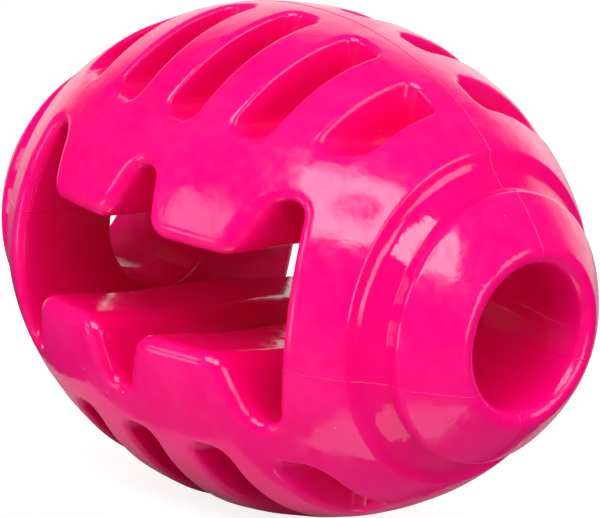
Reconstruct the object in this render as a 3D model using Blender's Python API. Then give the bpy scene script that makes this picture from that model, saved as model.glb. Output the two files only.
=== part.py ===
"""Rugby-ball dog toy: four moulded rubber quarters, bonded edge to edge along lengthwise seams.

The ball's long axis is X, the window runs through along Y, and Z is up. The origin is the ball's centre.
"""
import math

import bmesh
import bpy

# Ball and ends, metres. The ends stand a little proud of the skin's ellipse.
BALL_DIAMETER = 0.084
BALL_LENGTH = 0.1087
END_PROUD = 0.00065
BOSS_LENGTH = 0.0102
BOSS_EDGE_ROUND = 0.0024
BOSS_CROWN = 0.0006
GROOVE_WIDTH = 0.0046
GROOVE_DEPTH = 0.0019
GROOVE_WALL_RUN = 0.0010
SHOULDER_ROUND = 0.0012
BORE_DIAMETER = 0.0246
MOUTH_FLARE = 0.0009
MOUTH_DEPTH = 0.0016
MOUTH_ROUND = 0.0009
RIM_LAND = 0.0010
RIM_ROUND = 0.0008

# Window with its two pairs of teeth. Its middle lies a little left of and below the ball's centre.
WINDOW_LEFT_OF_CENTRE = 0.0005
WINDOW_BELOW_CENTRE = 0.00045
END_BAND = 0.00885
JAW_GAP = 0.0166
TOOTH_HEIGHT = 0.01015
TOOTH_TAPER = math.radians(18.0)
CENTRE_NOTCH_WIDTH = 0.0034
END_NOTCH_WIDTH = 0.00666
TOOTH_TIP_ROUND = 0.0028
NOTCH_ROUND = 0.0022
END_WALL_FLAT = 0.0080
END_WALL_CURVE = 0.050

# Blind slots beside the top and bottom seams
SLOTS_PER_SIDE = 5
SLOT_WIDTH = 0.0070
SLOT_END_MARGIN = 0.0079
SLOT_FLOOR_WALL = 0.00745
SPINE_WIDTH = 0.0095
SLOT_ROUND = 0.0022

# Seams: heights of the side seams at the right (+X) and left ends, and the bond gap
SEAM_GAP = 0.0003
FRONT_SEAM_RIGHT = -0.0089
FRONT_SEAM_LEFT = 0.0021
REAR_SEAM_RIGHT = -0.0044
REAR_SEAM_LEFT = 0.0

# Mesh fineness
TURN_STEPS = 56
SKIN_STEPS = 9
ROUND_STEPS = 3
SLOT_ROUND_STEPS = 3
SHARP_ANGLE = math.radians(35.0)
MERGE_DISTANCE = 1e-7

RUBBER_COLOR = (1.0, 0.004, 0.24, 1.0)
RUBBER_ROUGHNESS = 0.22

# Sizes that follow from the ones above
BALL_RADIUS = BALL_DIAMETER / 2
END_X = BALL_LENGTH / 2 + END_PROUD
FLANK_X = END_X - BOSS_LENGTH
SHOULDER_X = FLANK_X - GROOVE_WIDTH
BORE_RADIUS = BORE_DIAMETER / 2
MOUTH_RADIUS = BORE_RADIUS + MOUTH_FLARE
RIM_RADIUS = MOUTH_RADIUS + RIM_LAND + RIM_ROUND
WINDOW_END_X = SHOULDER_X - END_BAND
END_NOTCH_MIDDLE_X = WINDOW_END_X - END_NOTCH_WIDTH / 2
NOTCH_Z = JAW_GAP / 2 + TOOTH_HEIGHT
SLOT_FLOOR_Z = NOTCH_Z + SLOT_FLOOR_WALL
SLOT_PITCH = (SHOULDER_X - SLOT_END_MARGIN - SLOT_WIDTH / 2) / (SLOTS_PER_SIDE // 2)
SLOT_ROUND_MOST = 0.45 * SLOT_WIDTH
CUT_REACH = BALL_RADIUS + SLOT_WIDTH


def clear_scene():
    for old in list(bpy.data.objects):
        bpy.data.objects.remove(old, do_unlink=True)


def rubber_material(name):
    material = bpy.data.materials.new(name)
    material.use_nodes = True
    shader = material.node_tree.nodes["Principled BSDF"]
    shader.inputs["Base Color"].default_value = RUBBER_COLOR
    shader.inputs["Roughness"].default_value = RUBBER_ROUGHNESS
    shader.inputs["Metallic"].default_value = 0.0
    material.diffuse_color = RUBBER_COLOR
    return material


def skin_radius(x):
    """Radius of the ball's skin at a distance x from its middle."""
    return BALL_RADIUS * math.sqrt(max(1 - (2 * x / BALL_LENGTH) ** 2, 0.0))


def toward(start, goal, distance):
    """The point a given distance from start on the way to goal, never past the half-way point."""
    length = math.dist(start, goal)
    share = min(distance / length, 0.5)
    return tuple(s + (g - s) * share for s, g in zip(start, goal))


def rounded(corner, before, after, radius):
    """Points of a curve that rounds a corner between its two neighbours."""
    start = toward(corner, before, radius)
    end = toward(corner, after, radius)
    points = []
    for step in range(ROUND_STEPS + 1):
        t = step / ROUND_STEPS
        points.append(tuple(
            (1 - t) ** 2 * a + 2 * t * (1 - t) * c + t ** 2 * b for a, c, b in zip(start, corner, end)))
    return points


def half_turned_outline():
    """Outline (x, radius) of the right half: skin, groove, end boss, rim and a bore to the end notch."""
    skin_end = SHOULDER_X - SHOULDER_ROUND
    last_angle = math.asin(2 * skin_end / BALL_LENGTH)
    angles = [last_angle * step / SKIN_STEPS for step in range(SKIN_STEPS + 1)]
    skin = [(BALL_LENGTH / 2 * math.sin(t), BALL_RADIUS * math.cos(t)) for t in angles]
    wall_x = SHOULDER_X + GROOVE_WALL_RUN
    shoulder = (SHOULDER_X, skin_radius(SHOULDER_X))
    groove_start = (wall_x, skin_radius(wall_x) - GROOVE_DEPTH)
    groove_end = (FLANK_X, skin_radius(FLANK_X) - GROOVE_DEPTH)
    boss_edge = (FLANK_X, skin_radius(FLANK_X))
    rim = (END_X, RIM_RADIUS)
    crown = tuple((a + b) / 2 + BOSS_CROWN for a, b in zip(boss_edge, rim))
    land_end = (END_X, MOUTH_RADIUS)
    mouth = (END_X - MOUTH_DEPTH, BORE_RADIUS)
    bore_end = (END_NOTCH_MIDDLE_X, BORE_RADIUS)
    outline = skin[:-1]
    outline += rounded(shoulder, skin[-1], groove_start, SHOULDER_ROUND)
    outline += [groove_start, groove_end]
    outline += rounded(boss_edge, groove_end, crown, BOSS_EDGE_ROUND)
    outline += [crown]
    outline += rounded(rim, crown, land_end, RIM_ROUND)
    outline += [land_end]
    outline += rounded(mouth, land_end, bore_end, MOUTH_ROUND)
    outline += [bore_end, (END_NOTCH_MIDDLE_X, 0.0)]
    return outline


def turned_mesh():
    """The whole ball as one turned solid with a bore in from each end."""
    right = half_turned_outline()
    left = [(-x, radius) for x, radius in reversed(right)]
    mesh = bmesh.new()
    corners = [mesh.verts.new((x, 0.0, radius)) for x, radius in left + right[1:]]
    edges = [mesh.edges.new((a, b)) for a, b in zip(corners, corners[1:])]
    bmesh.ops.spin(mesh, geom=corners + edges, cent=(0, 0, 0), axis=(1, 0, 0),
                   angle=2 * math.pi, steps=TURN_STEPS, use_merge=True)
    bmesh.ops.remove_doubles(mesh, verts=mesh.verts, dist=MERGE_DISTANCE)
    bmesh.ops.recalc_face_normals(mesh, faces=mesh.faces)
    return finished(mesh, "turned_ball")


def finished(mesh, name):
    data = bpy.data.meshes.new(name)
    mesh.to_mesh(data)
    mesh.free()
    return data


def end_wall_x(z):
    """Place of the window's end wall at a height: flat in the middle, and curved inwards above and below."""
    rise = max(abs(z) - END_WALL_FLAT / 2, 0.0)
    return WINDOW_END_X * math.sqrt(1 - (rise / END_WALL_CURVE) ** 2)


def window_corner_path():
    """Upper right corners of the window's outline (x, z, rounding), from the middle to the end wall."""
    tip_z = JAW_GAP / 2
    half_flat = END_WALL_FLAT / 2
    bend_z = (NOTCH_Z + half_flat) / 2
    lean = TOOTH_HEIGHT * math.tan(TOOTH_TAPER)
    inner_root = CENTRE_NOTCH_WIDTH / 2
    outer_root = WINDOW_END_X - END_NOTCH_WIDTH
    return [
        (inner_root, NOTCH_Z, min(NOTCH_ROUND, inner_root)),
        (inner_root + lean, tip_z, TOOTH_TIP_ROUND),
        (outer_root - lean, tip_z, TOOTH_TIP_ROUND),
        (outer_root, NOTCH_Z, NOTCH_ROUND),
        (end_wall_x(NOTCH_Z), NOTCH_Z, NOTCH_ROUND),
        (end_wall_x(bend_z), bend_z, 0.0),
        (end_wall_x(half_flat), half_flat, 0.0),
    ]


def window_outline():
    """Closed outline (x, z) of the window, seen along its through direction."""
    upper_right = window_corner_path()
    lower_right = [(x, -z, r) for x, z, r in reversed(upper_right)]
    lower_left = [(-x, -z, r) for x, z, r in upper_right]
    upper_left = [(-x, z, r) for x, z, r in reversed(upper_right)]
    path = upper_right + lower_right + lower_left + upper_left
    outline = []
    for index, (x, z, radius) in enumerate(path):
        before = path[index - 1][:2]
        after = path[(index + 1) % len(path)][:2]
        outline += rounded((x, z), before, after, radius) if radius else [(x, z)]
    return outline


def loft(rings):
    """A closed body skinned over rings with equal numbers of points."""
    mesh = bmesh.new()
    loops = [[mesh.verts.new(point) for point in ring] for ring in rings]
    for near, far in zip(loops, loops[1:]):
        for index in range(len(near)):
            following = (index + 1) % len(near)
            mesh.faces.new((near[index], near[following], far[following], far[index]))
    mesh.faces.new(loops[0])
    mesh.faces.new(loops[-1])
    bmesh.ops.remove_doubles(mesh, verts=mesh.verts, dist=MERGE_DISTANCE)
    bmesh.ops.recalc_face_normals(mesh, faces=mesh.faces)
    return mesh


def add_cutter(name, data):
    cutter = bpy.data.objects.new(name, data)
    cutter.display_type = 'WIRE'
    cutter.hide_render = True
    bpy.context.scene.collection.objects.link(cutter)
    return cutter


def window_cutter():
    """Straight through cut along Y, a little off the ball's centre."""
    outline = [(x - WINDOW_LEFT_OF_CENTRE, z - WINDOW_BELOW_CENTRE) for x, z in window_outline()]
    rings = [[(x, y, z) for x, z in outline] for y in (-CUT_REACH, CUT_REACH)]
    return add_cutter("window_cut", finished(loft(rings), "window_cut"))


def slot_cutter(name, side_y, side_z):
    """Row of blind slots of one quarter, drawn straight out sideways."""
    half_row = SLOTS_PER_SIDE // 2
    low = (SPINE_WIDTH / 2, SLOT_FLOOR_Z)
    size = (SLOT_WIDTH, CUT_REACH - low[0], CUT_REACH - low[1])
    mesh = bmesh.new()
    for place in range(-half_row, half_row + 1):
        cube = bmesh.ops.create_cube(mesh, size=1.0)["verts"]
        bmesh.ops.scale(mesh, vec=size, verts=cube)
        middle = (place * SLOT_PITCH, side_y * (low[0] + size[1] / 2), side_z * (low[1] + size[2] / 2))
        bmesh.ops.translate(mesh, vec=middle, verts=cube)
    cutter = add_cutter(name, finished(mesh, name))
    bevel = cutter.modifiers.new("round_corners", 'BEVEL')
    bevel.width = min(SLOT_ROUND, SLOT_ROUND_MOST)
    bevel.segments = SLOT_ROUND_STEPS
    return cutter


def quarter_block(name, side_y, side_z, seam_left, seam_right):
    """Block that holds one quarter of the ball. It steps to each seam's height in the open end notches."""
    reach = END_X + CUT_REACH
    step_x = END_NOTCH_MIDDLE_X
    gap = SEAM_GAP / 2
    left = seam_left + side_z * gap
    right = seam_right + side_z * gap
    outline = [(-reach, left), (-step_x, left), (-step_x, 0.0),
               (step_x, 0.0), (step_x, right), (reach, right),
               (reach, side_z * reach), (-reach, side_z * reach)]
    rings = [[(x, side_y * y, z) for x, z in outline] for y in (gap, reach)]
    return add_cutter(name, finished(loft(rings), name))


def cut(piece, cutter, operation):
    modifier = piece.modifiers.new(cutter.name, 'BOOLEAN')
    modifier.operation = operation
    modifier.solver = 'EXACT'
    modifier.object = cutter


def build_quarter(name, ball, window, side_y, side_z, seam_left, seam_right):
    piece = bpy.data.objects.new(name, ball.copy())
    piece.data.materials.append(rubber_material(name + "_rubber"))
    piece.data.shade_smooth()
    piece.data.set_sharp_from_angle(angle=SHARP_ANGLE)
    bpy.context.scene.collection.objects.link(piece)
    cut(piece, window, 'DIFFERENCE')
    cut(piece, slot_cutter(name + "_slots", side_y, side_z), 'DIFFERENCE')
    cut(piece, quarter_block(name + "_block", side_y, side_z, seam_left, seam_right), 'INTERSECT')


def main():
    clear_scene()
    ball = turned_mesh()
    window = window_cutter()
    build_quarter("upper_front_quarter", ball, window, -1, 1, FRONT_SEAM_LEFT, FRONT_SEAM_RIGHT)
    build_quarter("upper_rear_quarter", ball, window, 1, 1, REAR_SEAM_LEFT, REAR_SEAM_RIGHT)
    build_quarter("lower_front_quarter", ball, window, -1, -1, FRONT_SEAM_LEFT, FRONT_SEAM_RIGHT)
    build_quarter("lower_rear_quarter", ball, window, 1, -1, REAR_SEAM_LEFT, REAR_SEAM_RIGHT)


main()
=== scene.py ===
"""Looks of the rugby-ball dog toy: four glossy pink rubber quarters with rounded edges and fine seam lines.

The surface is worked out as a distance field, in metres, in the part's own frame: X is the ball's long axis,
the window runs through along Y, and Z is up.
"""
import math

import bmesh
import bpy
import numpy as np
from mathutils import Matrix, Vector


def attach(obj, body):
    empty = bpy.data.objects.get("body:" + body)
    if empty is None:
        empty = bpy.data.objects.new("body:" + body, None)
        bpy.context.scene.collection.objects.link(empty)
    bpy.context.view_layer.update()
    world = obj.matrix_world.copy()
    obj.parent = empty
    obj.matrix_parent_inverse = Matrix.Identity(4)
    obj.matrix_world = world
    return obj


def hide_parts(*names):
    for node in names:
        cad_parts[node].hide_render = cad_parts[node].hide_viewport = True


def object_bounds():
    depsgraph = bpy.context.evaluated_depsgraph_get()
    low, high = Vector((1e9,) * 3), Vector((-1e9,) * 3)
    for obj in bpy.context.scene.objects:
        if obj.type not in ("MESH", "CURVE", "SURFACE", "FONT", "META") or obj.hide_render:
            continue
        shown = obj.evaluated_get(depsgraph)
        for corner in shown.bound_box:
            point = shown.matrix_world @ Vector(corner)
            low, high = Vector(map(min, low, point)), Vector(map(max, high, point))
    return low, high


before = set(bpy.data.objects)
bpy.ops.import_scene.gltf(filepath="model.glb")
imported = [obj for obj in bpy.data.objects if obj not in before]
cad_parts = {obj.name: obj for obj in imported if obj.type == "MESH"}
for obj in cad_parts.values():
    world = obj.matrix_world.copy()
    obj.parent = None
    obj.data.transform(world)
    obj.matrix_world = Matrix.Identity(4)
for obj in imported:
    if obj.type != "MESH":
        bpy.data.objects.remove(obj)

CAD_LOW, CAD_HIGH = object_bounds()

# Turned form of the ball and its ends
END_X = CAD_HIGH.x
BALL_RADIUS = CAD_HIGH.z
BALL_HALF_LENGTH = 0.05435
SHOULDER_X = 0.0403
SHOULDER_ROUND = 0.0012
GROOVE_DEPTH = 0.0019
GROOVE_WALL_RUN = 0.0006
GROOVE_ROUND = 0.0040
BOSS_FOOT = (0.04424, 0.0225)
BOSS_FOOT_ROUND = 0.0008
BOSS_EDGE_X = 0.0472
BOSS_EDGE_ROUND = 0.0016
BOSS_EDGE_RUN = 0.0016
BOSS_TIP_X = 0.06063
BOSS_FULLNESS = 0.0397
FACE_END_X = 0.0545
BORE_RADIUS = 0.0123
MOUTH_EDGE_ROUND = 0.0001
BORE_EDGE_ROUND = 0.0007

# Window with its blunt teeth
WINDOW_END_X = 0.03135
WINDOW_END_CURVE = 0.050
WINDOW_SHIFT = np.array((-0.0005, 0.0, -0.00045))
WINDOW_SHIFT_REACH = 0.006
TOOTH_TIP_Z = 0.0085
NOTCH_Z = 0.01845
TOOTH_TAPER = math.radians(18.0)
CENTRE_NOTCH_HALF = 0.0017
CENTRE_NOTCH_ROUND = 0.0022
END_NOTCH_WIDTH = 0.00666
END_NOTCH_ROUND = 0.0028
TOOTH_TIP_ROUND = 0.0042
TOOTH_WAVE = 0.00035
TOOTH_WAVE_LENGTH = 0.036
WINDOW_EDGE_ROUND = 0.0028
END_NOTCH_MIDDLE_X = WINDOW_END_X - END_NOTCH_WIDTH / 2

# Blind slots
SLOT_PITCH = 0.0144
SLOTS_EACH_WAY = 2
SLOT_HALF_WIDTH = 0.0035
SLOT_FLOOR_Z = 0.0259
SPINE_HALF_WIDTH = 0.00475
SLOT_ROUND = 0.0024
SLOT_EDGE_ROUND = 0.0010

# Side seam heights: front and rear, at the left and right ends
SEAM_HEIGHTS = {"front": (0.0021, -0.0089), "rear": (0.0, -0.0044)}

# Fine raised lines that the moulded seams leave
RIDGE_HALF_WIDTH = 0.00012
RIDGE_RISE = 0.00006
RIDGE_SIDES = 8
RIDGE_POINTS = 420
RIDGE_HALVINGS = 26
RIDGE_BORE_END_X = 0.0345
END_BLOCK_MIDDLE = (0.0430, 0.0180)
END_BLOCK_REACH = 0.026

# Rubber: colours, gloss, and the sizes, detail and heights of its marks
RUBBER_SLOT = "pink_rubber"
RUBBER_IOR = 1.5
PINK = (0.91, 0.0026, 0.187, 1.0)
PINK_DEEP = (0.88, 0.0004, 0.166, 1.0)
# Painted shade: the next colour is painted inside the ball's outline, in the window, slots and bores. It
# fades out over the reach range on the line after it.
PAINTED_SHADE_PINK = (0.83, 0.0004, 0.118, 1.0)
PAINTED_SHADE_EDGE = (0.90, 1.0)
DUST_COLOUR = (0.95, 0.45, 0.62, 1.0)
CLOUD_SIZE = 0.012
CLOUD_DETAIL = 8.0
CLOUD_RANGE = (0.36, 0.66)
WEAR_SIZE = 0.010
WEAR_DETAIL = 6.0
WEAR_RANGE = (0.38, 0.66)
ROUGHNESS_RANGE = (0.075, 0.165)
HAZE_SIZE = 0.0022
HAZE_DETAIL = 5.0
HAZE_RANGE = (0.40, 0.66)
HAZE_ROUGHNESS = 0.09
GROOVE_ROUGHNESS = 0.07
GROOVE_SPAN = ((0.0402, 0.0412), (0.0466, 0.0474))
WAVE_SIZE = 0.007
WAVE_DETAIL = 1.0
WAVE_HEIGHT = 0.00015
DENT_SIZE = 0.0024
DENT_DETAIL = 2.0
DENT_HEIGHT = 0.00005
SCUFF_SIZE = 0.0009
SCUFF_DETAIL = 4.0
SCUFF_HEIGHT = 0.000012
SPECK_SPACING = 0.0042
SPECK_EDGE = (0.022, 0.032)
SPECK_PICK = (0.70, 0.72)

# Camera, fitted to the photograph's frame
IMAGE_WIDTH = 600
IMAGE_HEIGHT = 518
CENTRE_PIXEL = (297.155, 258.094)
CAMERA_AZIMUTH = math.radians(44.085)
CAMERA_ELEVATION = math.radians(12.522)
CAMERA_ROLL = math.radians(7.281)
CAMERA_DISTANCE = 1.8828
CAMERA_LENS = 682.0
CAMERA_CLIP = 20.0
SENSOR_WIDTH = 36.0

# Soft boxes: the name, then the azimuth, elevation and (width, height) in degrees as seen from the toy,
# the brightness, and the share of it that is left in the middle
LIGHT_DISTANCE = 1.2
SOFT_BOXES = (
    ("key_box", 38.0, 46.5, (42.0, 32.0), 7.4, 0.10),
    ("right_panel", 84.0, 8.0, (18.0, 36.0), 3.4, 1.0),
    ("far_right_panel", 114.0, 27.0, (26.0, 24.0), 2.8, 1.0),
    ("left_panel", -20.0, 18.0, (21.0, 18.0), 2.6, 1.0),
    ("front_card", -20.0, -12.5, (22.0, 17.0), 2.4, 1.0),
    ("low_card", 65.0, -71.0, (26.0, 26.0), 1.0, 1.0),
    ("back_panel", -154.0, 20.0, (26.0, 28.0), 0.5, 1.0),
)
DIM_CENTRE = (0.5, 0.5, 0.0)
DIM_EDGE = (0.10, 0.32)

# Fill light: an even level and broad glows, each with its (azimuth, elevation) in degrees, its strength,
# and the cosines at which it starts and is full
FILL_LEVEL = 0.05
FILLS = (
    ((0.0, 90.0), 0.42, (0.05, 0.65)),
    ((0.0, -90.0), 0.64, (0.05, 0.65)),
    ((-105.0, 0.0), 0.37, (0.05, 0.65)),
    ((-20.0, -20.0), 0.70, (0.60, 0.95)),
)

# White backdrop behind the toy and dim room around it, as the gloss shows them
BACKDROP_AZIMUTH = -142.0
BACKDROP_EDGE = (0.66, 0.88)
BACKDROP_FOOT = (-0.30, 0.0)
ROOM_LEVEL = 0.02
ROOM_FLOOR = 0.09
ROOM_FLOOR_EDGE = (0.60, 0.85)
WHITE = (1.0, 1.0, 1.0, 1.0)

# Table top
TABLE_CORNERS = ((-0.037, -0.035), (0.0145, -0.035), (0.1345, 0.40), (-0.40, 0.40), (-0.40, 0.328))
TABLE_COLOUR = (0.40, 0.40, 0.40, 1.0)
TABLE_GLOW = 0.85
TABLE_GLOW_IN_GLOSS = 0.08

# Fineness: steps and margins, guards against a step past a grid's end or a division by zero, and counts
GRID_STEP = 0.00012
GRID_MARGIN = 0.006
GRID_END = 1.001
SHORTEST_SQUARE = 1e-16
LEAST_SLOPE = 1e-12
NET_STEP = 0.00034
NET_MARGIN = 2.5 * NET_STEP
PLANE_REACH = NET_STEP / 10
CUT_TOLERANCE = 1e-6
KEPT_SHARE = 0.11
PROJECTIONS = 5
PROBE = 0.00006
WELD_STEP = 1e-7
ARC_STEPS = 10
SKIN_STEPS = 90
BOSS_STEPS = 24
END_WALL_STEPS = 16


def skin_radius(x):
    return BALL_RADIUS * math.sqrt(max(1 - (x / BALL_HALF_LENGTH) ** 2, 0.0))


def boss_radius(x):
    return math.sqrt(BOSS_FULLNESS * (BOSS_TIP_X - x))


def arc(before, corner, after, radius):
    """Points of a round of a given radius, tangent to both legs of a corner."""
    before, corner, after = (np.array(p, float) for p in (before, corner, after))
    to_before = (before - corner) / np.linalg.norm(before - corner)
    to_after = (after - corner) / np.linalg.norm(after - corner)
    half = math.acos(float(np.clip(to_before @ to_after, -1, 1))) / 2
    bisector = (to_before + to_after) / np.linalg.norm(to_before + to_after)
    centre = corner + bisector * radius / math.sin(half)
    start = corner + to_before * radius / math.tan(half) - centre
    end = corner + to_after * radius / math.tan(half) - centre
    turn = math.pi - 2 * half
    points = []
    for step in range(ARC_STEPS + 1):
        t = step / ARC_STEPS
        share = np.sin((1 - t) * turn) * start + np.sin(t * turn) * end
        points.append(tuple(centre + share / math.sin(turn)))
    return points


def turned_outline():
    """Outline (x, radius) of the right half, from the middle of the skin over the rim to the axis."""
    skin_end = SHOULDER_X - SHOULDER_ROUND
    last = math.asin(skin_end / BALL_HALF_LENGTH)
    angles = [last * step / SKIN_STEPS for step in range(SKIN_STEPS + 1)]
    skin = [(BALL_HALF_LENGTH * math.sin(t), BALL_RADIUS * math.cos(t)) for t in angles]
    wall_x = SHOULDER_X + GROOVE_WALL_RUN
    shoulder = (SHOULDER_X, skin_radius(SHOULDER_X))
    groove = (wall_x, skin_radius(wall_x) - GROOVE_DEPTH)
    foot = BOSS_FOOT
    boss_edge = (BOSS_EDGE_X, boss_radius(BOSS_EDGE_X))
    face_start = BOSS_EDGE_X + BOSS_EDGE_RUN
    face_xs = np.linspace(face_start, FACE_END_X, BOSS_STEPS)
    face = [(x, boss_radius(x)) for x in face_xs]
    lean = BOSS_FULLNESS / (2 * boss_radius(FACE_END_X))
    rim_run = (boss_radius(FACE_END_X) - BORE_RADIUS) / lean
    rim_corner = (FACE_END_X + rim_run, BORE_RADIUS)
    rim_leg = math.dist(face[-1], rim_corner)
    bore_start = (rim_corner[0] - rim_leg, BORE_RADIUS)
    outline = skin[:-1]
    outline += arc(skin[-1], shoulder, groove, SHOULDER_ROUND)
    outline += arc(shoulder, groove, foot, GROOVE_ROUND)
    outline += arc(groove, foot, boss_edge, BOSS_FOOT_ROUND)
    outline += arc(foot, boss_edge, face[0], BOSS_EDGE_ROUND)
    outline += face[1:-1]
    outline += arc(face[-1], rim_corner, bore_start, rim_leg * math.tan(math.atan(lean) / 2))
    return outline + [(bore_start[0], 0.0)]


def window_end(z):
    """Half length of the window at a height: its end walls bulge outwards as the ball's outline does."""
    return WINDOW_END_X * math.sqrt(1 - (z / WINDOW_END_CURVE) ** 2)


def window_outline():
    """Outline (x, z) of the window's upper right part, from the middle of its roof down to its end wall."""
    lean = (NOTCH_Z - TOOTH_TIP_Z) * math.tan(TOOTH_TAPER)
    outer_root = WINDOW_END_X - END_NOTCH_WIDTH
    corners = [
        (0.0, NOTCH_Z),
        (CENTRE_NOTCH_HALF, NOTCH_Z),
        (CENTRE_NOTCH_HALF + lean, TOOTH_TIP_Z),
        (outer_root - lean, TOOTH_TIP_Z),
        (outer_root, NOTCH_Z),
        (window_end(NOTCH_Z), NOTCH_Z),
        (window_end(NOTCH_Z - 2 * END_NOTCH_ROUND), NOTCH_Z - 2 * END_NOTCH_ROUND),
    ]
    rounds = [CENTRE_NOTCH_ROUND, TOOTH_TIP_ROUND, TOOTH_TIP_ROUND, END_NOTCH_ROUND, END_NOTCH_ROUND]
    outline = [corners[0]]
    for index, radius in enumerate(rounds):
        outline += arc(corners[index], corners[index + 1], corners[index + 2], radius)
    end_wall = np.linspace(corners[-1][1], 0.0, END_WALL_STEPS)
    return outline + [(window_end(z), z) for z in end_wall]


def distance_table(outline, width, height):
    """Signed distance to an outline that, with the two axes, closes a region. Negative is inside."""
    a_axis = np.arange(0, width, GRID_STEP)
    b_axis = np.arange(0, height, GRID_STEP)
    a, b = np.meshgrid(a_axis, b_axis, indexing="ij")
    nearest = np.full(a.shape, np.inf)
    inside = np.zeros(a.shape, bool)
    corners = [(0.0, 0.0)] + list(outline)
    for index, (start, end) in enumerate(zip(corners, corners[1:] + corners[:1])):
        da, db = end[0] - start[0], end[1] - start[1]
        if db != 0:
            crossing = start[0] + (b - start[1]) * da / db
            inside ^= ((start[1] > b) != (end[1] > b)) & (a < crossing)
        square = da * da + db * db
        if index == 0 or index == len(corners) - 1 or square < SHORTEST_SQUARE:
            continue
        t = np.clip(((a - start[0]) * da + (b - start[1]) * db) / square, 0, 1)
        away = (a - start[0] - t * da) ** 2 + (b - start[1] - t * db) ** 2
        np.minimum(nearest, away, out=nearest)
    return np.sqrt(nearest) * np.where(inside, -1, 1)


def sample(table, a, b):
    """Reads a distance table between its grid points."""
    fa = np.clip(a / GRID_STEP, 0, table.shape[0] - GRID_END)
    fb = np.clip(b / GRID_STEP, 0, table.shape[1] - GRID_END)
    ia, ib = fa.astype(int), fb.astype(int)
    ta, tb = fa - ia, fb - ib
    low = table[ia, ib] * (1 - ta) + table[ia + 1, ib] * ta
    high = table[ia, ib + 1] * (1 - ta) + table[ia + 1, ib + 1] * ta
    return low * (1 - tb) + high * tb


def rounded_cut(body, cutter, radius):
    """Takes a cutter out of a body and rounds the edge that it leaves."""
    kept = -cutter
    corner = np.hypot(np.maximum(body + radius, 0), np.maximum(kept + radius, 0))
    return np.minimum(np.maximum(body, kept), -radius) + corner


class Toy:
    """Distance field of the whole toy. Its window lies a little off the ball's centre once it is shifted."""

    def __init__(self):
        width = END_X + GRID_MARGIN
        height = BALL_RADIUS + GRID_MARGIN
        self.turned = distance_table(turned_outline(), width, height)
        self.window = distance_table(window_outline(), width, height)
        self.shift = np.zeros(3)

    def window_distance(self, points):
        x, y, z = np.abs(points - self.shift).T
        wave = TOOTH_WAVE * np.cos(2 * math.pi * y / TOOTH_WAVE_LENGTH)
        return sample(self.window, x, z + wave)

    def shift_window(self, points):
        """Moves the window off centre, and takes surface points near it along."""
        share = np.clip(1 - self.window_distance(points) / WINDOW_SHIFT_REACH, 0, 1)
        self.shift = WINDOW_SHIFT
        return self.project(points + share[:, None] * WINDOW_SHIFT)

    def distance(self, points):
        window = self.window_distance(points)
        x, y, z = np.abs(points).T
        radius = np.hypot(y, z)
        place = np.clip(np.round(x / SLOT_PITCH), 0, SLOTS_EACH_WAY)
        walls = np.stack([np.abs(x - place * SLOT_PITCH) - SLOT_HALF_WIDTH, SPINE_HALF_WIDTH - y,
                          SLOT_FLOOR_Z - z]) + SLOT_ROUND
        slots = np.linalg.norm(np.maximum(walls, 0), axis=0) + np.minimum(walls.max(axis=0), 0) - SLOT_ROUND
        solid = rounded_cut(sample(self.turned, x, radius), window, WINDOW_EDGE_ROUND)
        solid = rounded_cut(solid, slots, SLOT_EDGE_ROUND)
        bore = np.maximum(radius - BORE_RADIUS, END_NOTCH_MIDDLE_X - x)
        return rounded_cut(solid, bore, np.where(x > SHOULDER_X, MOUTH_EDGE_ROUND, BORE_EDGE_ROUND))

    def normals(self, points):
        slope = np.empty_like(points)
        for axis in range(3):
            step = np.zeros(3)
            step[axis] = PROBE
            slope[:, axis] = self.distance(points + step) - self.distance(points - step)
        return slope / np.maximum(np.linalg.norm(slope, axis=1, keepdims=True), LEAST_SLOPE)

    def project(self, points, rounds=PROJECTIONS):
        for _ in range(rounds):
            points = points - self.distance(points)[:, None] * self.normals(points)
        return points


def octant_net(toy):
    """Quads over the toy's surface in one octant and a little beyond its three planes."""
    reaches = (END_X, BALL_RADIUS, BALL_RADIUS)
    axes = [np.arange(-NET_MARGIN, reach + NET_MARGIN, NET_STEP) for reach in reaches]
    shape = tuple(len(axis) for axis in axes)
    inside = np.empty(shape, bool)
    for index, x in enumerate(axes[0]):
        y, z = np.meshgrid(axes[1], axes[2], indexing="ij")
        layer = np.stack([np.full(y.size, x), y.ravel(), z.ravel()], axis=1)
        inside[index] = (toy.distance(layer) < 0).reshape(shape[1:])
    corners = sum(inside[i:shape[0] - 1 + i, j:shape[1] - 1 + j, k:shape[2] - 1 + k].astype(int)
                  for i in (0, 1) for j in (0, 1) for k in (0, 1))
    crossed = (corners > 0) & (corners < 8)
    number = np.full(crossed.shape, -1)
    number[crossed] = np.arange(crossed.sum())
    cells = np.argwhere(crossed)
    points = np.stack([axes[i][cells[:, i]] + NET_STEP / 2 for i in range(3)], axis=1)
    quads = []
    for axis in range(3):
        one, two = (axis + 1) % 3, (axis + 2) % 3
        ahead = np.roll(inside, -1, axis)
        change = inside != ahead
        keep = [slice(1, -1)] * 3
        keep[axis] = slice(0, -1)
        spots = np.argwhere(change[tuple(keep)])
        spots[:, [one, two]] += 1
        ring = []
        for back_one, back_two in ((1, 1), (0, 1), (0, 0), (1, 0)):
            cell = spots.copy()
            cell[:, one] -= back_one
            cell[:, two] -= back_two
            ring.append(number[tuple(cell.T)])
        ring = np.stack(ring, axis=1)
        outward = inside[tuple(spots.T)]
        quads.append(np.where(outward[:, None], ring, ring[:, ::-1]))
    return toy.project(points), np.concatenate(quads)


def mesh_from(points, faces, name):
    data = bpy.data.meshes.new(name)
    data.from_pydata(points.tolist(), [], faces.tolist())
    data.update()
    return data


def read_points(data):
    flat = np.empty(len(data.vertices) * 3)
    data.vertices.foreach_get("co", flat)
    return flat.reshape(-1, 3)


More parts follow.
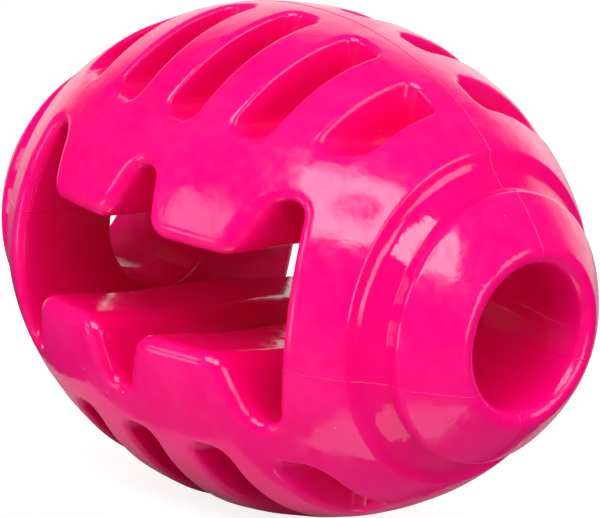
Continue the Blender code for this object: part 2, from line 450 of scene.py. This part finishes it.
def octant_mesh(toy):
    """One octant of the surface, cut off at its planes and thinned out where it is smooth."""
    points, quads = octant_net(toy)
    dense = mesh_from(points, quads, "octant")
    work = bmesh.new()
    work.from_mesh(dense)
    for normal in ((1, 0, 0), (0, 1, 0), (0, 0, 1)):
        geometry = work.verts[:] + work.edges[:] + work.faces[:]
        bmesh.ops.bisect_plane(work, geom=geometry, dist=CUT_TOLERANCE, plane_co=(0, 0, 0),
                               plane_no=normal, clear_inner=True)
    bmesh.ops.triangulate(work, faces=work.faces)
    work.to_mesh(dense)
    work.free()
    carrier = bpy.data.objects.new("octant", dense)
    bpy.context.scene.collection.objects.link(carrier)
    thin = carrier.modifiers.new("thin", 'DECIMATE')
    thin.ratio = KEPT_SHARE
    bpy.context.view_layer.update()
    graph = bpy.context.evaluated_depsgraph_get()
    thinned = bpy.data.meshes.new_from_object(carrier.evaluated_get(graph))
    bpy.data.objects.remove(carrier)
    points = read_points(thinned)
    on_plane = np.abs(points) < PLANE_REACH
    points = np.where(on_plane, 0.0, points)
    points = np.where(on_plane, 0.0, toy.project(points))
    faces = np.array([tuple(face.vertices) for face in thinned.polygons])
    return points, faces


def whole_mesh(toy, points, faces):
    """The whole surface: eight mirrored octants, welded along their planes, with the window shifted."""
    all_points, all_faces = [], []
    for sx in (1, -1):
        for sy in (1, -1):
            for sz in (1, -1):
                turned = faces if sx * sy * sz > 0 else faces[:, ::-1]
                all_faces.append(turned + len(points) * len(all_points))
                all_points.append(points * (sx, sy, sz))
    all_points = np.concatenate(all_points)
    keys = np.round(all_points / WELD_STEP).astype(np.int64)
    _, first, weld = np.unique(keys, axis=0, return_index=True, return_inverse=True)
    points = toy.shift_window(all_points[first])
    return mesh_from(points, weld.reshape(-1)[np.concatenate(all_faces)], "ball")


def seam_height(x, side):
    """Height that parts the upper and lower quarters: the seam's at the ends, 0 across the open window."""
    if abs(x) < END_NOTCH_MIDDLE_X:
        return 0.0
    left, right = SEAM_HEIGHTS[side]
    return right if x > 0 else left


def lies_at(face, end, sign):
    """Whether a face lies wholly in one end block, on its front or rear side."""
    past_window = all(end * vertex.co.x > END_NOTCH_MIDDLE_X for vertex in face.verts)
    return past_window and sign * face.calc_center_median().y > 0


def cut_along_side_seams(work):
    for side, sign in (("front", -1), ("rear", 1)):
        for end in (-1, 1):
            height = seam_height(end * END_X, side)
            faces = [f for f in work.faces if lies_at(f, end, sign)]
            edges = {e for f in faces for e in f.edges}
            verts = {v for f in faces for v in f.verts}
            bmesh.ops.bisect_plane(work, geom=list(verts) + list(edges) + faces, dist=CUT_TOLERANCE,
                                   plane_co=(0, 0, height), plane_no=(0, 0, 1))


def quarter_of(face):
    centre = face.calc_center_median()
    side = "front" if centre.y < 0 else "rear"
    level = "upper" if centre.z > seam_height(centre.x, side) else "lower"
    return f"{level}_{side}_quarter"


def quarter_mesh(whole, name, toy):
    """One quarter of the surface, closed along its seams, with the shading of the true surface."""
    work = whole.copy()
    others = [f for f in work.faces if quarter_of(f) != name]
    bmesh.ops.delete(work, geom=others, context='FACES')
    open_edges = [e for e in work.edges if e.is_boundary]
    skin_faces = len(work.faces)
    bmesh.ops.holes_fill(work, edges=open_edges, sides=0)
    work.faces.ensure_lookup_table()
    bmesh.ops.recalc_face_normals(work, faces=work.faces)
    caps = bmesh.ops.triangulate(work, faces=work.faces[skin_faces:])["faces"]
    work.faces.index_update()
    cap_places = {f.index for f in caps}
    data = bpy.data.meshes.new(name)
    work.to_mesh(data)
    work.free()
    data.shade_smooth()
    normals = toy.normals(read_points(data))
    shading = []
    for face in data.polygons:
        for corner in face.vertices:
            shading.append(tuple(face.normal) if face.index in cap_places else tuple(normals[corner]))
    data.normals_split_custom_set(shading)
    return data


def add_piece(name, data, material):
    piece = bpy.data.objects.new(name, data)
    bpy.context.scene.collection.objects.link(piece)
    data.materials.append(material)
    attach(piece, "root")
    return piece


def add_quarters(toy, material):
    ball = whole_mesh(toy, *octant_mesh(toy))
    whole = bmesh.new()
    whole.from_mesh(ball)
    cut_along_side_seams(whole)
    for node in sorted(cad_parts):
        piece = add_piece(node + "_skin", quarter_mesh(whole, node, toy), material)
        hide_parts(node)
    whole.free()


def tube_mesh(points, normals, closed, name):
    """A thin ridge of oval section along a line on the surface."""
    before, after = np.roll(points, 1, axis=0), np.roll(points, -1, axis=0)
    if not closed:
        before[0], after[-1] = points[0], points[-1]
    across = np.cross(after - before, normals)
    across /= np.linalg.norm(across, axis=1, keepdims=True)
    turns = np.linspace(0, 2 * math.pi, RIDGE_SIDES, endpoint=False)
    rings = (points[:, None] + RIDGE_RISE * np.cos(turns)[:, None] * normals[:, None]
             + RIDGE_HALF_WIDTH * np.sin(turns)[:, None] * across[:, None])
    count = len(points)
    faces = []
    for ring in range(count if closed else count - 1):
        start, end = ring * RIDGE_SIDES, (ring + 1) % count * RIDGE_SIDES
        for side in range(RIDGE_SIDES):
            ahead = (side + 1) % RIDGE_SIDES
            faces.append((start + side, start + ahead, end + ahead, end + side))
    if not closed:
        faces.append(tuple(range(RIDGE_SIDES))[::-1])
        faces.append(tuple(range((count - 1) * RIDGE_SIDES, count * RIDGE_SIDES)))
    data = bpy.data.meshes.new(name)
    data.from_pydata(rings.reshape(-1, 3).tolist(), [], faces)
    work = bmesh.new()
    work.from_mesh(data)
    bmesh.ops.recalc_face_normals(work, faces=work.faces)
    work.to_mesh(data)
    work.free()
    data.shade_smooth()
    return data


def long_seam(toy, sign):
    """Line over the top or the bottom of the ball, from one bore to the other."""
    half = [p for p in turned_outline() if p[1] > 0] + [(RIDGE_BORE_END_X, BORE_RADIUS)]
    line = [(-x, 0.0, sign * r) for x, r in half[:0:-1]] + [(x, 0.0, sign * r) for x, r in half]
    return toy.project(np.array(line))


def end_seam(toy, end, side):
    """Line round the end block where its upper and lower quarters meet."""
    sign = -1 if side == "front" else 1
    middle = np.array((end * END_BLOCK_MIDDLE[0], sign * END_BLOCK_MIDDLE[1], seam_height(end * END_X, side)))
    turns = np.linspace(0, 2 * math.pi, RIDGE_POINTS, endpoint=False)
    rays = np.stack([np.cos(turns), np.sin(turns), np.zeros(RIDGE_POINTS)], axis=1)
    near, far = np.zeros(RIDGE_POINTS), np.full(RIDGE_POINTS, END_BLOCK_REACH)
    for _ in range(RIDGE_HALVINGS):
        half = (near + far) / 2
        inside = toy.distance(middle + half[:, None] * rays) < 0
        near, far = np.where(inside, half, near), np.where(inside, far, half)
    return middle + near[:, None] * rays


def add_seam_ridges(toy, material):
    for name, sign in (("top", 1), ("bottom", -1)):
        line = long_seam(toy, sign)
        add_piece(f"{name}_seam_ridge", tube_mesh(line, toy.normals(line), False, name), material)
    for side in SEAM_HEIGHTS:
        for end_name, end in (("left", -1), ("right", 1)):
            line = end_seam(toy, end, side)
            name = f"{side}_{end_name}_seam_ridge"
            add_piece(name, tube_mesh(line, toy.normals(line), True, name), material)


def rubber_material():
    """Glossy pink rubber: faintly cloudy and wavy, with worn and hazy patches, scuffs, dust specks and a
    deeper pink painted as shade in the recesses.
    """
    material = bpy.data.materials.new(RUBBER_SLOT)
    material.use_nodes = True
    nodes, links = material.node_tree.nodes, material.node_tree.links
    shader = nodes["Principled BSDF"]
    shader.inputs["IOR"].default_value = RUBBER_IOR
    place = nodes.new("ShaderNodeTexCoord").outputs["Object"]
    cloudy = noise(nodes, links, place, CLOUD_SIZE, CLOUD_DETAIL)
    clouds = ranged(nodes, links, cloudy, CLOUD_RANGE, (0.0, 1.0))
    specks = dust_specks(nodes, links, place)
    pink = nodes.new("ShaderNodeMix")
    pink.data_type = 'RGBA'
    pink.inputs["A"].default_value = PINK_DEEP
    pink.inputs["B"].default_value = PINK
    links.new(clouds, pink.inputs["Factor"])
    # Painted shade: a deeper pink inside the window, slots and bores, where shade falls.
    shade_painted = nodes.new("ShaderNodeMix")
    shade_painted.data_type = 'RGBA'
    shade_painted.inputs["A"].default_value = PAINTED_SHADE_PINK
    links.new(outside_painted_shade(nodes, links, place), shade_painted.inputs["Factor"])
    links.new(pink.outputs["Result"], shade_painted.inputs["B"])
    dusted = nodes.new("ShaderNodeMix")
    dusted.data_type = 'RGBA'
    dusted.inputs["B"].default_value = DUST_COLOUR
    links.new(specks, dusted.inputs["Factor"])
    links.new(shade_painted.outputs["Result"], dusted.inputs["A"])
    links.new(dusted.outputs["Result"], shader.inputs["Base Color"])
    wear = noise(nodes, links, place, WEAR_SIZE, WEAR_DETAIL)
    hazy = noise(nodes, links, place, HAZE_SIZE, HAZE_DETAIL)
    haze = ranged(nodes, links, hazy, HAZE_RANGE, (0.0, HAZE_ROUGHNESS))
    worn = total(nodes, links, ranged(nodes, links, wear, WEAR_RANGE, ROUGHNESS_RANGE), haze)
    rough = nodes.new("ShaderNodeMix")
    rough.inputs["B"].default_value = GROOVE_ROUGHNESS
    groove = sheltered(nodes, links, place)
    links.new(groove, rough.inputs["Factor"])
    links.new(worn, rough.inputs["A"])
    links.new(rough.outputs["Result"], shader.inputs["Roughness"])
    waves = noise(nodes, links, place, WAVE_SIZE, WAVE_DETAIL)
    dents = noise(nodes, links, place, DENT_SIZE, DENT_DETAIL)
    rubbed = scaled(nodes, links, groove, -1.0, 1.0)
    scuffs = product(nodes, links, noise(nodes, links, place, SCUFF_SIZE, SCUFF_DETAIL), rubbed)
    swell = bump(nodes, links, waves, WAVE_HEIGHT)
    dented = bump(nodes, links, dents, DENT_HEIGHT, swell)
    fine = bump(nodes, links, scuffs, SCUFF_HEIGHT, dented)
    links.new(fine, shader.inputs["Normal"])
    return material


def outside_painted_shade(nodes, links, place):
    """Mask of the outer skin: 1 there and 0 in the recesses inside the ball's outline, where a deeper pink is
    painted as shade.
    """
    shrunk = nodes.new("ShaderNodeVectorMath")
    shrunk.operation = 'DIVIDE'
    shrunk.inputs[1].default_value = (BALL_HALF_LENGTH, BALL_RADIUS, BALL_RADIUS)
    links.new(place, shrunk.inputs[0])
    reach = nodes.new("ShaderNodeVectorMath")
    reach.operation = 'LENGTH'
    links.new(shrunk.outputs["Vector"], reach.inputs[0])
    return ranged(nodes, links, reach.outputs["Value"], PAINTED_SHADE_EDGE, (0.0, 1.0))


def sheltered(nodes, links, place):
    """Mask of the grooves at both ends, which keep their gloss because nothing rubs there."""
    parts = nodes.new("ShaderNodeSeparateXYZ")
    links.new(place, parts.inputs["Vector"])
    out = nodes.new("ShaderNodeMath")
    out.operation = 'ABSOLUTE'
    links.new(parts.outputs["X"], out.inputs[0])
    past_shoulder = ranged(nodes, links, out.outputs["Value"], GROOVE_SPAN[0], (0.0, 1.0))
    before_boss = ranged(nodes, links, out.outputs["Value"], GROOVE_SPAN[1], (1.0, 0.0))
    return product(nodes, links, past_shoulder, before_boss)


def combined(nodes, links, operation, one, two):
    node = nodes.new("ShaderNodeMath")
    node.operation = operation
    links.new(one, node.inputs[0])
    links.new(two, node.inputs[1])
    return node.outputs["Value"]


def product(nodes, links, one, two):
    return combined(nodes, links, 'MULTIPLY', one, two)


def total(nodes, links, one, two):
    return combined(nodes, links, 'ADD', one, two)


def noise(nodes, links, place, size, detail):
    """Cloudy pattern whose spots have about the given size."""
    texture = nodes.new("ShaderNodeTexNoise")
    texture.inputs["Scale"].default_value = 1 / size
    texture.inputs["Detail"].default_value = detail
    links.new(place, texture.inputs["Vector"])
    return texture.outputs["Fac"]


def ranged(nodes, links, value, limits, results):
    """Value brought from one range to another, held at both ends."""
    node = nodes.new("ShaderNodeMapRange")
    node.inputs["From Min"].default_value = limits[0]
    node.inputs["From Max"].default_value = limits[1]
    node.inputs["To Min"].default_value = results[0]
    node.inputs["To Max"].default_value = results[1]
    links.new(value, node.inputs["Value"])
    return node.outputs["Result"]


def bump(nodes, links, height, size, below=None):
    """Relief of a given height, on top of another relief if there is one."""
    node = nodes.new("ShaderNodeBump")
    node.inputs["Distance"].default_value = size
    links.new(height, node.inputs["Height"])
    if below:
        links.new(below, node.inputs["Normal"])
    return node.outputs["Normal"]


def dust_specks(nodes, links, place):
    """Mask of a few tiny round specks: the middles of some of the cells of a random pattern."""
    cells = nodes.new("ShaderNodeTexVoronoi")
    cells.inputs["Scale"].default_value = 1 / SPECK_SPACING
    links.new(place, cells.inputs["Vector"])
    near = ranged(nodes, links, cells.outputs["Distance"], SPECK_EDGE, (1.0, 0.0))
    pick = nodes.new("ShaderNodeSeparateColor")
    links.new(cells.outputs["Color"], pick.inputs["Color"])
    few = ranged(nodes, links, pick.outputs["Red"], SPECK_PICK, (0.0, 1.0))
    return product(nodes, links, near, few)


def camera_axes():
    """Right, up and back directions of the camera."""
    back = Vector((math.sin(CAMERA_AZIMUTH) * math.cos(CAMERA_ELEVATION),
                   -math.cos(CAMERA_AZIMUTH) * math.cos(CAMERA_ELEVATION), math.sin(CAMERA_ELEVATION)))
    level = Vector((0, 0, 1)).cross(back).normalized()
    upright = back.cross(level)
    right = math.cos(CAMERA_ROLL) * level + math.sin(CAMERA_ROLL) * upright
    up = math.cos(CAMERA_ROLL) * upright - math.sin(CAMERA_ROLL) * level
    return right, up, back


def add_camera():
    right, up, back = camera_axes()
    data = bpy.data.cameras.new("camera")
    data.sensor_width = SENSOR_WIDTH
    data.lens = CAMERA_LENS
    data.clip_end = CAMERA_CLIP
    camera = bpy.data.objects.new("camera", data)
    bpy.context.scene.collection.objects.link(camera)
    pixel = CAMERA_DISTANCE * SENSOR_WIDTH / CAMERA_LENS / IMAGE_WIDTH
    sideways = (IMAGE_WIDTH / 2 - CENTRE_PIXEL[0]) * pixel
    upward = (CENTRE_PIXEL[1] - IMAGE_HEIGHT / 2) * pixel
    pose = Matrix((right, up, back)).transposed().to_4x4()
    pose.translation = back * CAMERA_DISTANCE + right * sideways + up * upward
    camera.matrix_world = pose
    bpy.context.scene.camera = camera


def direction(azimuth, elevation):
    """Unit vector towards a point of the studio, seen from the toy."""
    a, e = math.radians(azimuth), math.radians(elevation)
    return Vector((math.sin(a) * math.cos(e), -math.cos(a) * math.cos(e), math.sin(e)))


def add_soft_box(name, azimuth, elevation, spread, radiance, centre_share):
    """A soft box that faces the toy, with a darker middle where the share left there is under 1."""
    width, height = (2 * LIGHT_DISTANCE * math.tan(math.radians(angle / 2)) for angle in spread)
    data = bpy.data.lights.new(name, 'AREA')
    data.shape = 'RECTANGLE'
    data.size, data.size_y = width, height
    data.energy = radiance * math.pi * width * height
    if centre_share < 1:
        dim_centre(data, centre_share)
    light = bpy.data.objects.new(name, data)
    bpy.context.scene.collection.objects.link(light)
    away = direction(azimuth, elevation)
    light.location = away * LIGHT_DISTANCE
    light.rotation_mode = 'QUATERNION'
    light.rotation_quaternion = (-away).to_track_quat('-Z', 'Y')


def dim_centre(data, share):
    """Gives a soft box a darker middle with a soft edge."""
    data.use_nodes = True
    nodes, links = data.node_tree.nodes, data.node_tree.links
    place = nodes.new("ShaderNodeNewGeometry")
    away = nodes.new("ShaderNodeVectorMath")
    away.operation = 'DISTANCE'
    away.inputs[1].default_value = DIM_CENTRE
    fade = nodes.new("ShaderNodeMapRange")
    fade.interpolation_type = 'SMOOTHSTEP'
    fade.inputs["From Min"].default_value = DIM_EDGE[0]
    fade.inputs["From Max"].default_value = DIM_EDGE[1]
    fade.inputs["To Min"].default_value = share
    links.new(place.outputs["Parametric"], away.inputs[0])
    links.new(away.outputs["Value"], fade.inputs["Value"])
    links.new(fade.outputs["Result"], nodes["Emission"].inputs["Strength"])


def add_table():
    """Table top. The toy stands near its front edge, so little of it shows in the toy's lower gloss."""
    data = bpy.data.meshes.new("table")
    data.from_pydata([(x, y, 0) for x, y in TABLE_CORNERS], [], [range(len(TABLE_CORNERS))])
    table = bpy.data.objects.new("table", data)
    table.location.z = CAD_LOW.z
    bpy.context.scene.collection.objects.link(table)
    data.materials.append(table_material())


def seen_directly(nodes, links):
    """Socket that is 1 for rays from the camera or a clear surface, and less for those from a glossy one."""
    path = nodes.new("ShaderNodeLightPath")
    gloss = scaled(nodes, links, path.outputs["Is Glossy Ray"], TABLE_GLOW_IN_GLOSS, 0.0)
    first = combined(nodes, links, 'MAXIMUM', path.outputs["Is Camera Ray"], gloss)
    return combined(nodes, links, 'MAXIMUM', first, path.outputs["Is Transmission Ray"])


def table_material():
    """Dull grey with a glow that mostly the camera sees, so that the table looks white round the shadow."""
    material = bpy.data.materials.new("table")
    material.use_nodes = True
    nodes, links = material.node_tree.nodes, material.node_tree.links
    nodes.remove(nodes["Principled BSDF"])
    paint = nodes.new("ShaderNodeBsdfDiffuse")
    paint.inputs["Color"].default_value = TABLE_COLOUR
    glow = nodes.new("ShaderNodeEmission")
    links.new(scaled(nodes, links, seen_directly(nodes, links), TABLE_GLOW, 0.0), glow.inputs["Strength"])
    both = nodes.new("ShaderNodeAddShader")
    links.new(paint.outputs["BSDF"], both.inputs[0])
    links.new(glow.outputs["Emission"], both.inputs[1])
    links.new(both.outputs["Shader"], nodes["Material Output"].inputs["Surface"])
    return material


def facing(nodes, links, place, towards, limits):
    """Socket that goes smoothly from 0 to 1 as a direction turns towards another one."""
    along = nodes.new("ShaderNodeVectorMath")
    along.operation = 'DOT_PRODUCT'
    along.inputs[1].default_value = towards
    links.new(place, along.inputs[0])
    edge = nodes.new("ShaderNodeMapRange")
    edge.interpolation_type = 'SMOOTHSTEP'
    edge.inputs["From Min"].default_value = limits[0]
    edge.inputs["From Max"].default_value = limits[1]
    links.new(along.outputs["Value"], edge.inputs["Value"])
    return edge.outputs["Result"]


def scaled(nodes, links, value, factor, offset):
    """Value times a factor plus an offset."""
    node = nodes.new("ShaderNodeMath")
    node.operation = 'MULTIPLY_ADD'
    node.inputs[1].default_value = factor
    node.inputs[2].default_value = offset
    links.new(value, node.inputs[0])
    return node.outputs["Value"]


def add_world():
    """Surroundings: plain white to the camera, a backdrop and a dim room to the gloss, and a soft fill."""
    world = bpy.data.worlds.new("studio")
    bpy.context.scene.world = world
    world.use_nodes = True
    nodes, links = world.node_tree.nodes, world.node_tree.links
    place = nodes.new("ShaderNodeTexCoord").outputs["Generated"]
    up = Vector((0, 0, 1))
    fill = nodes["Background"]
    parts = []
    for towards, strength, limits in FILLS:
        share = facing(nodes, links, place, direction(*towards), limits)
        parts.append(scaled(nodes, links, share, strength, FILL_LEVEL / len(FILLS)))
    level = parts[0]
    for part in parts[1:]:
        level = total(nodes, links, level, part)
    links.new(level, fill.inputs["Strength"])
    white = nodes.new("ShaderNodeBackground")
    backdrop = nodes.new("ShaderNodeBackground")
    for light in (fill, white, backdrop):
        light.inputs["Color"].default_value = WHITE
    sideways = facing(nodes, links, place, direction(BACKDROP_AZIMUTH, 0.0), BACKDROP_EDGE)
    upward = facing(nodes, links, place, up, BACKDROP_FOOT)
    downward = facing(nodes, links, place, -up, ROOM_FLOOR_EDGE)
    floor = scaled(nodes, links, downward, ROOM_FLOOR, ROOM_LEVEL)
    seen = total(nodes, links, product(nodes, links, sideways, upward), floor)
    links.new(seen, backdrop.inputs["Strength"])
    path = nodes.new("ShaderNodeLightPath")
    camera, glass = path.outputs["Is Camera Ray"], path.outputs["Is Transmission Ray"]
    clear = combined(nodes, links, 'MAXIMUM', camera, glass)
    gloss_mix = nodes.new("ShaderNodeMixShader")
    links.new(path.outputs["Is Glossy Ray"], gloss_mix.inputs["Fac"])
    links.new(fill.outputs["Background"], gloss_mix.inputs[1])
    links.new(backdrop.outputs["Background"], gloss_mix.inputs[2])
    clear_mix = nodes.new("ShaderNodeMixShader")
    links.new(clear, clear_mix.inputs["Fac"])
    links.new(gloss_mix.outputs["Shader"], clear_mix.inputs[1])
    links.new(white.outputs["Background"], clear_mix.inputs[2])
    links.new(clear_mix.outputs["Shader"], nodes["World Output"].inputs["Surface"])


def main():
    bpy.context.scene.view_settings.view_transform = 'Standard'
    rubber = rubber_material()
    toy = Toy()
    add_quarters(toy, rubber)
    add_seam_ridges(toy, rubber)
    add_camera()
    add_table()
    add_world()
    for box in SOFT_BOXES:
        add_soft_box(*box)


main()
